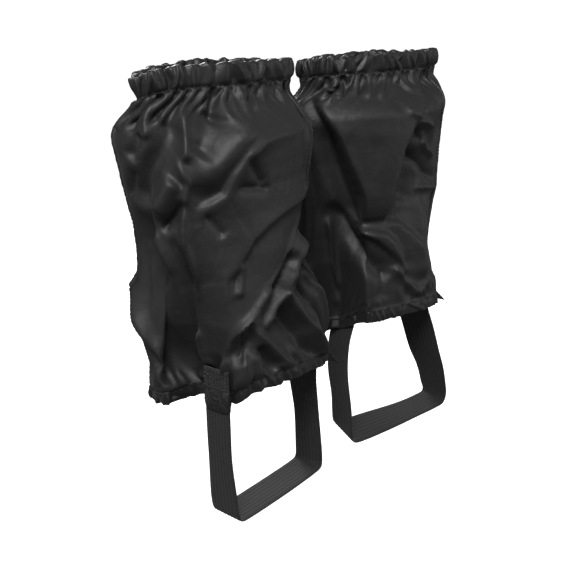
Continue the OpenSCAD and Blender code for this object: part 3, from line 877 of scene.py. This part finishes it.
def hem_casing(side_name):
    g = GATHER[side_name]["low"]
    ns, npr = 640, 30
    s = np.arange(ns) / ns * 24
    t = np.linspace(0, 1, npr)
    up = np.clip(t / 0.45, 0, 1)
    down = np.clip((t - 0.55) / 0.45, 0, 1)
    turn_over = np.clip((t - 0.45) / 0.10, 0, 1)
    v = np.where(t < 0.5, up, 1 - down)              # 0 at the upper edge, 1 at the bottom edge
    S, V = np.meshgrid(s, v, indexing="ij")
    w = wave(g, S, -V * 0.6)
    flat = flat_by_tab(S)
    puff = 0.75 + 0.25 * np.sin(np.pi * np.clip(V, 0, 1)) ** 0.7
    r_out = mix(0.3 + 2.0 * w * flat, 0.45 + 3.2 * w * puff * flat, smooth(V / 0.5))
    R = r_out * np.cos(np.pi * turn_over)[None, :]
    depth = 225.6 + 10.2 * V + 1.3 * (w - 0.4) * V ** 2 * flat + 0.4 * np.sin(np.pi * turn_over)[None, :]
    x = place(side_name, S, depth, R)
    u = np.concatenate([[0], np.cumsum(np.abs(np.diff(v)) * 11 + 0.4)])
    pat = np.stack([S / 24 * 0.486, np.broadcast_to(u[None, :] / 1000, S.shape), 0 * S], -1)
    ob = new_mesh(f"{side_name}_hem_tunnel", x.reshape(-1, 3), grid_faces(ns, npr, wrap_rows=True, wrap_cols=True)[:, ::-1], pat.reshape(-1, 3))
    dress(ob, "nylon_casing")
    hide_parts(f"{side_name}_hem_casing")
    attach(ob, f"{side_name}_gaiter")
    line_s = np.arange(0, 24, 24 / 150.0)
    r = 0.75 + 2.0 * wave(g, line_s, -0.05) * flat_by_tab(line_s)
    d = np.full(line_s.shape, 226.9)
    p = place(side_name, line_s, d, r)
    q2 = place(side_name, line_s + 0.02, d, r)
    outw = place(side_name, line_s, d, 10) - place(side_name, line_s, d, 0)
    st = stitches(f"{side_name}_hem_stitches", p, q2 - p, outw, 2.0, 0.5)
    dress(st, "thread")
    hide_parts(f"{side_name}_hem_stitching")
    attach(st, f"{side_name}_gaiter")
    return ob


def elastic(side_name, which, top, low):
    """The flat elastic band inside a casing, following it."""
    ns = 480
    s = np.arange(ns) / ns * 24
    prof = np.array([(-0.5, top + 0.3), (-0.3, top), (0.3, top), (0.5, top + 0.3)] + [(0.5, k) for k in np.linspace(top + 1, low - 1, 5)]
                    + [(0.5, low - 0.3), (0.3, low), (-0.3, low), (-0.5, low - 0.3)] + [(-0.5, k) for k in np.linspace(low - 1, top + 1, 5)])
    S = np.repeat(s[:, None], len(prof), 1)
    x = place(side_name, S, np.broadcast_to(prof[None, :, 1], S.shape), np.broadcast_to(prof[None, :, 0], S.shape))
    ob = new_mesh(f"{side_name}_{which}_band", x.reshape(-1, 3), grid_faces(ns, len(prof), wrap_rows=True, wrap_cols=True), None)
    dress(ob, "elastic")
    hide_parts(f"{side_name}_{which}_elastic")
    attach(ob, f"{side_name}_gaiter")


def panels(side_name, x):
    half = COLS // 2
    made = {}
    u = np.arange(COLS + 1) * FLAT_W / COLS
    v = np.arange(ROWS) * FLAT_H / (ROWS - 1)
    for part, a, b in (("back", 0, half), ("front", half, COLS)):
        idx = np.arange(a, b + 1)
        grid = x[:, idx % COLS]
        pat = np.stack([np.broadcast_to(u[idx][None], (ROWS, len(idx))), np.broadcast_to(v[:, None], (ROWS, len(idx))), np.zeros((ROWS, len(idx)))], -1)
        ob = closed_shell(f"{side_name}_{part}_cloth", grid, CLOTH, pat)
        dress(ob, "nylon")
        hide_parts(f"{side_name}_{part}_panel")
        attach(ob, f"{side_name}_gaiter")
        made[part] = ob
    return made


def seam(side_name, x, which):
    """A felled side seam: a narrow double fold standing on the cloth, with a row of stitches."""
    col = 0 if which == 0 else COLS // 2
    n = normals_of(x)[:, col]
    p = x[:, col]
    for _ in range(3):
        p = np.concatenate([p[:1], (p[:-2] + 2 * p[1:-1] + p[2:]) / 4, p[-1:]])
    t = np.gradient(p, axis=0)
    t /= np.linalg.norm(t, axis=1, keepdims=True)
    a = np.cross(t, n)
    a /= np.linalg.norm(a, axis=1, keepdims=True)
    prof = np.array([(-2.3, -0.3), (-2.1, 0.35), (-1.2, 0.75), (0.2, 0.95), (1.3, 1.35), (1.7, 0.9), (1.9, 0.2), (1.8, -0.3), (0, -0.5)])
    wob = 1 + 0.12 * np.sin(np.arange(len(p)) * 0.55) + 0.1 * np.sin(np.arange(len(p)) * 1.7)
    v = p[:, None] + prof[None, :, 0, None] * a[:, None] + (prof[None, :, 1, None] * wob[:, None, None]) * n[:, None]
    pat = np.zeros(v.shape)
    pat[..., 0] = prof[None, :, 0] / 1000
    pat[..., 1] = (np.arange(len(p)) * FLAT_H / (ROWS - 1))[:, None]
    faces = grid_faces(len(p), len(prof), wrap_cols=True)
    m = len(prof)
    caps = [list(range(m)), [(len(p) - 1) * m + j for j in range(m)][::-1]]
    return v, pat, faces.tolist() + caps, p, t, a, n


def seams(side_name, x):
    for which, node in ((0, "corner_seam"), (1, "plain_seam")):
        v, pat, faces, p, t, a, n = seam(side_name, x, which)
        verts, pats = [v.reshape(-1, 3)], [pat.reshape(-1, 3)]
        if which == 0:
            # the flat, ungathered end of the seam at the hem: narrow above, widest at its lower edge
            rows, cols = 11, 12
            base_s = 21.3 if side_name == 'left' else 21.8
            down = np.linspace(0, 1, rows)
            long = np.linspace(0, 1, cols)
            e = place(side_name, base_s + 0.05, 228.0) - place(side_name, base_s - 0.05, 228.0)
            e = e / np.linalg.norm(e)
            wide = 1.5 + (12.5 if side_name == 'left' else 14.0) * down ** 0.8
            droop = 6.5 if side_name == 'left' else 3.0
            fin = []
            for thick in (0.6, -0.6):
                g = place(side_name, np.full((rows, cols), base_s), 222.5 + 14.0 * down[:, None] + droop * long[None, :],
                          -1.0 + wide[:, None] * long[None, :])
                fin.append(g + e * thick + e * (1.2 * np.sin(long * 3.0 + 0.4))[None, :, None] * down[:, None, None])
            base = sum(len(k) for k in verts)
            for k in fin:
                verts.append(k.reshape(-1, 3))
                pats.append(np.stack(np.broadcast_arrays(long[None, :] * 0.011, down[:, None] * 0.014, 0.0), -1).reshape(-1, 3))
            f = grid_faces(rows, cols)
            off = rows * cols
            ring = np.concatenate([np.arange(cols), np.arange(1, rows) * cols + cols - 1,
                                   (rows - 1) * cols + np.arange(cols - 2, -1, -1), np.arange(rows - 2, 0, -1) * cols])
            nxt = np.roll(ring, -1)
            faces += (f + base).tolist() + (f[:, ::-1] + off + base).tolist() + (np.stack([ring, ring + off, nxt + off, nxt], -1) + base).tolist()
        ob = new_mesh(f"{side_name}_{node}_fold", np.concatenate(verts), faces, np.concatenate(pats))
        dress(ob, "nylon_seam")
        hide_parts(f"{side_name}_{node}")
        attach(ob, f"{side_name}_gaiter")
        step = np.concatenate([[0], np.cumsum(np.linalg.norm(np.diff(p, axis=0), axis=1))])
        at = np.arange(2, step[-1] - 2, 3.1)
        pick = lambda arr: np.stack([np.interp(at, step, arr[:, k]) for k in range(3)], 1)
        pp, tt, aa, nn = pick(p), pick(t), pick(a), pick(n)
        st = stitches(f"{side_name}_{node}_stitches", pp - aa * 1.3 + nn * 0.85, tt, nn, 2.1, 0.45)
        dress(st, "thread")
        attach(st, f"{side_name}_gaiter")


def strap_line(side_name):
    """The webbing's path in its own plane, x across and z up, from the outer tab round the sole to the inner tab."""
    if side_name == "left":
        pts = [(-54.2, -218.5), (-54.3, -226), (-54.6, -240), (-55.4, -262), (-56.2, -290), (-55.0, -322), (-53.8, -340),
               (-51.5, -344.8), (-47, -346.2), (-20, -347.0), (20, -347.4), (46, -347.0), (51.6, -345.4), (53.4, -339),
               (53.0, -315), (51.0, -290), (47.8, -262), (45.4, -240), (44.4, -222), (44.0, -206)]
    else:
        pts = [(-37.0, -216.5), (-37.6, -226), (-41.5, -240), (-51.5, -262), (-59.6, -290), (-61.8, -322), (-62.2, -345),
               (-60.4, -351.4), (-54, -353.6), (-20, -353.4), (20, -352.0), (54, -350.4), (61.0, -348.6), (63.0, -342),
               (57.0, -315), (46.8, -290), (37.4, -262), (29.6, -240), (27.0, -222), (26.6, -206)]
    pts = np.array(pts, float)
    out = []
    for k in range(len(pts) - 1):
        a, b, c, d = pts[max(k - 1, 0)], pts[k], pts[k + 1], pts[min(k + 2, len(pts) - 1)]
        n = max(2, int(np.linalg.norm(c - b) / 1.2))
        t = (np.arange(n) / n)[:, None]
        la, lb, lc = (max(np.linalg.norm(w), 1e-6) for w in (b - a, c - b, d - c))
        m1 = (c - a) / (la + lb) * lb if la > 1e-5 else c - b
        m2 = (d - b) / (lb + lc) * lb if lc > 1e-5 else c - b
        out.append((2 * t ** 3 - 3 * t ** 2 + 1) * b + (t ** 3 - 2 * t ** 2 + t) * m1 + (-2 * t ** 3 + 3 * t ** 2) * c + (t ** 3 - t ** 2) * m2)
    out.append(pts[-1:])
    return np.concatenate(out)


def strap(side_name):
    line = strap_line(side_name)
    along = np.concatenate([[0], np.cumsum(np.linalg.norm(np.diff(line, axis=0), axis=1))])
    t = np.gradient(line, axis=0)
    t /= np.linalg.norm(t, axis=1, keepdims=True)
    nrm = np.stack([-t[:, 1], t[:, 0]], 1)          # to the inside of the U on the left leg
    m = 60
    y = np.linspace(-1, 1, m) * STRAP_W / 2
    rib = np.abs(np.cos(np.pi * y / 3.75))
    edge = smooth((STRAP_W / 2 - np.abs(y)) / 1.2)
    half = (0.55 + 0.42 * rib) * (0.35 + 0.65 * edge)
    ys = np.concatenate([y, y[::-1]])
    hs = np.concatenate([half, -half[::-1]])
    n = len(line)
    cross = 0.06 * np.sin(along / 2.4 * 2 * np.pi)
    H = hs[None, :] + np.sign(hs)[None, :] * cross[:, None]
    leg = smooth((line[:, 1] + 336) / 50)
    high = smooth((line[:, 1] + 330) / 90)
    inner = smooth(line[:, 0] / 30)
    if side_name == "left":
        narrow = np.where(line[:, 0] < 0, 0.17, 0.15 * smooth((-238 - line[:, 1]) / 30))
        twist = np.radians(14 * high * inner)
        back = 0.0 * high
    else:
        narrow = 0.0 * high
        twist = np.radians((22 * smooth((line[:, 1] + 338) / 75) + 17 * smooth((line[:, 1] + 352) / 18)) * inner)
        back = 18.0 * smooth((line[:, 1] + 335) / 95) * (1 - inner)
    wide = (1 + 0.012 * np.sin(along / 23.0) - narrow * leg)[:, None]
    X = line[:, 0][:, None] + H * nrm[:, 0][:, None] - ys[None, :] * wide * np.sin(twist)[:, None]
    Z = line[:, 1][:, None] + H * nrm[:, 1][:, None]
    Y = STRAP_Y - 1.0 * leg[:, None] + ys[None, :] * wide * np.cos(twist)[:, None] + back[:, None] + 0.5 * np.sin(along / 37.0)[:, None]
    Z = Z + (0.14 if side_name == "right" else 0.03) * (Y - STRAP_Y + 2.0) * (1 - leg[:, None])
    if side_name == "right":
        Z = Z + 0.22 * (Y - STRAP_Y + 15.0) * ((1 - leg) * smooth((40 - line[:, 0]) / 90))[:, None]
    p = turn(side_name, np.stack([X, Y, Z], -1))
    pat = np.stack([np.broadcast_to(ys[None] / 1000, X.shape), np.broadcast_to(along[:, None] / 1000, X.shape), np.zeros(X.shape)], -1)
    faces = grid_faces(n, 2 * m, wrap_cols=True).tolist()
    faces.append(list(range(2 * m))[::-1])
    faces.append([(n - 1) * 2 * m + j for j in range(2 * m)])
    ob = new_mesh(f"{side_name}_strap", p.reshape(-1, 3), faces, pat.reshape(-1, 3))
    dress(ob, "webbing")
    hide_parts(f"{side_name}_outer_tab", f"{side_name}_inner_tab", f"{side_name}_stirrup")
    a = turn(side_name, np.array([[0, STRAP_Y, -238.0]]))[0] / 1000
    b = turn(side_name, np.array([[0, STRAP_Y, -282.0]]))[0] / 1000
    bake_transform(ob)
    # the cloth gathered round the webbing just below the hem
    rows, cols = 46, 96
    z = np.linspace(-234.5, -251.5, rows)
    k = np.arange(cols) / cols * 2 * np.pi
    zz, kk = np.meshgrid(z, k, indexing="ij")
    down = (-234.5 - zz) / 17.0
    half_y = 12.9 + 0.5 * np.sin(down * np.pi) - 0.7 * down
    yy = np.sign(np.cos(kk)) * np.abs(np.cos(kk)) ** 0.55 * half_y
    th = np.sign(np.sin(kk)) * np.abs(np.sin(kk)) ** 0.7
    g = gather(31 if side_name == "left" else 37, 13, (0.5, 1.0), 0.0)
    pleat = wave({**g, "c": g["c"], "k": g["k"]}, ((yy + 13) / 26 * 12 + down * 5.5 + (th < 0) * 6.0), 0.5)
    body = 1.5 + 1.2 * np.sin(np.pi * np.clip(down, 0.02, 0.98)) ** 0.6 + 1.9 * pleat * np.sin(np.pi * np.clip(down * 0.94 + 0.03, 0, 1)) ** 0.5
    centre = np.interp(-zz, -line[: n // 2, 1], line[: n // 2, 0])
    if side_name == "right":
        zz = zz + 12.0
        centre = np.interp(-zz, -line[: n // 2, 1], line[: n // 2, 0])
        body = 1.2 + 0.4 * pleat
    shift = np.interp(-zz, -line[: n // 2, 1], back[: n // 2])
    pts = np.stack([centre + th * body, STRAP_Y - 1.0 + yy + shift, zz], -1)
    pts = turn(side_name, pts)
    pat = np.stack([yy / 1000, zz / 1000, 0 * zz], -1)
    f = grid_faces(rows, cols, wrap_cols=True).tolist()
    f.append(list(range(cols))[::-1])
    f.append([(rows - 1) * cols + j for j in range(cols)])
    sleeve = new_mesh(f"{side_name}_strap_gather", pts.reshape(-1, 3), f, pat.reshape(-1, 3))
    dress(sleeve, "nylon_casing")
    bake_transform(sleeve)
    # the box of stitches that holds the outer end
    pts, dirs = [], []
    face_x = -55.5 if side_name == "left" else -39.0
    for z0 in (-220.5, -235.0):
        for yy in np.arange(-13, 13.1, 3.0):
            pts.append((face_x, STRAP_Y + back[0] + yy * 0.9, z0)); dirs.append((0, 1, 0))
    for y0 in (-13, 13):
        for zz in np.arange(-233, -221, 3.0):
            pts.append((face_x, STRAP_Y + back[0] + y0 * 0.9, zz)); dirs.append((0, 0, 1))
    for k in np.linspace(0.06, 0.94, 8):
        pts.append((face_x - 0.1, STRAP_Y + back[0] - 11 + 22 * k, -221.5 - 12 * k)); dirs.append((0, 0.88, -0.48))
        pts.append((face_x - 0.1, STRAP_Y + back[0] - 11 + 22 * k, -233.5 + 12 * k)); dirs.append((0, 0.88, 0.48))
    origin = turn(side_name, np.zeros((1, 3)))
    pts = turn(side_name, np.array(pts, float))
    dirs = turn(side_name, np.array(dirs, float)) - origin
    outs = np.repeat(turn(side_name, np.array([[-1.0, 0, 0]])) - origin, len(pts), 0)
    st = stitches(f"{side_name}_tab_stitches", pts, dirs, outs, 2.2, 0.55)
    dress(st, "thread")
    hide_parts(f"{side_name}_tab_stitching")
    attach(st, f"{side_name}_gaiter")
    return ob


for side_name, seed in (("left", 5), ("right", 9)):
    x, s_grid, q_grid = body_cloth(side_name, seed)
    calf_casing(side_name)
    hem_casing(side_name)
    elastic(side_name, "calf", 2.4, 12.6)
    elastic(side_name, "hem", 227.6, 233.6)
    panels(side_name, x)
    seams(side_name, x)
    strap(side_name)


# ---------------------------------------------------------------- floor, light, camera
def floor():
    """A pale floor with a pale surround, which the camera sees and which casts no light of its own on the cloth."""
    m, nt, sh = material("pale_floor")
    sh.inputs["Base Color"].default_value = (0.9, 0.9, 0.9, 1)
    sh.inputs["Roughness"].default_value = 0.9
    sh.inputs["Specular IOR Level"].default_value = 0.1
    sh.inputs["Emission Color"].default_value = (1, 1, 1, 1)
    sh.inputs["Emission Strength"].default_value = 1.0
    z = -0.50
    n = 96
    k = np.arange(n) / n * 2 * np.pi
    # a round floor that sweeps up into a wall and a ceiling, in one surface
    prof = [(0.0, z), (4.0, z), (6.0, z + 0.15), (7.4, z + 0.9), (8.0, z + 2.2), (8.0, z + 5.0), (6.0, z + 7.5), (0.0, z + 8.2)]
    prof = np.array(prof)
    verts = [(prof[0, 0], 0, prof[0, 1])]
    for r, h in prof[1:-1]:
        verts += [(r * math.cos(a), r * math.sin(a), h) for a in k]
    verts.append((0, 0, prof[-1, 1]))
    faces = [(0, 1 + j, 1 + (j + 1) % n) for j in range(n)]
    for i in range(len(prof) - 3):
        b0, b1 = 1 + i * n, 1 + (i + 1) * n
        faces += [(b0 + j, b1 + j, b1 + (j + 1) % n, b0 + (j + 1) % n) for j in range(n)]
    b0 = 1 + (len(prof) - 3) * n
    faces += [(b0 + j, len(verts) - 1, b0 + (j + 1) % n) for j in range(n)]
    me = bpy.data.meshes.new("floor")
    me.from_pydata(verts, [], faces)
    ob = bpy.data.objects.new("floor", me)
    bpy.context.scene.collection.objects.link(ob)
    ob.data.materials.append(m)
    ob.visible_diffuse = False
    ob.visible_glossy = False
    ob.visible_shadow = False


floor()
world = bpy.data.worlds.new("studio")
bpy.context.scene.world = world
world.use_nodes = True
world.node_tree.nodes["Background"].inputs[0].default_value = (1, 1, 1, 1)
world.node_tree.nodes["Background"].inputs[1].default_value = 0.13


def area(name, at, to, size, power, size_y=None):
    d = bpy.data.lights.new(name, "AREA")
    d.energy = power
    d.size = size
    if size_y:
        d.shape = "RECTANGLE"
        d.size_y = size_y
    ob = bpy.data.objects.new(name, d)
    bpy.context.scene.collection.objects.link(ob)
    ob.location = at
    ob.rotation_mode = "QUATERNION"
    ob.rotation_quaternion = (Vector(to) - Vector(at)).to_track_quat("-Z", "Y")
    return ob


mid = (0.09, 0.0, -0.15)
area("top", (-0.72, -0.60, 1.05), mid, 0.6, 26)
area("side_left", (-1.5, 0.6, 0.1), mid, 0.4, 3.5, 1.2)
area("front_low", (-1.25, -0.85, -0.45), mid, 0.8, 1.6)
area("side_right", (1.1, -1.5, 0.3), mid, 0.4, 7, 1.4)
area("back", (0.8, 1.4, 0.8), mid, 0.8, 20)

cam_data = bpy.data.cameras.new("camera")
cam = bpy.data.objects.new("camera", cam_data)
bpy.context.scene.collection.objects.link(cam)
cam_data.sensor_width = 36.0
cam_data.lens = 773.95 / 573 * 36.0
az, pitch, roll = math.radians(49.79), math.radians(16.9), math.radians(2.59)
fw = Vector((math.sin(az) * math.cos(pitch), math.cos(az) * math.cos(pitch), -math.sin(pitch)))
rt = Vector((math.cos(az), -math.sin(az), 0))
upv = rt.cross(fw)
xa = math.cos(roll) * rt - math.sin(roll) * upv
ya = math.sin(roll) * rt + math.cos(roll) * upv
za = -fw
cam.matrix_world = Matrix(((xa.x, ya.x, za.x, -0.42784), (xa.y, ya.y, za.y, -0.42139), (xa.z, ya.z, za.z, 0.00652), (0, 0, 0, 1)))
cam_data.clip_start = 0.01
bpy.context.scene.camera = cam
bpy.context.scene.view_settings.view_transform = "Standard"

bpy.context.view_layer.update()
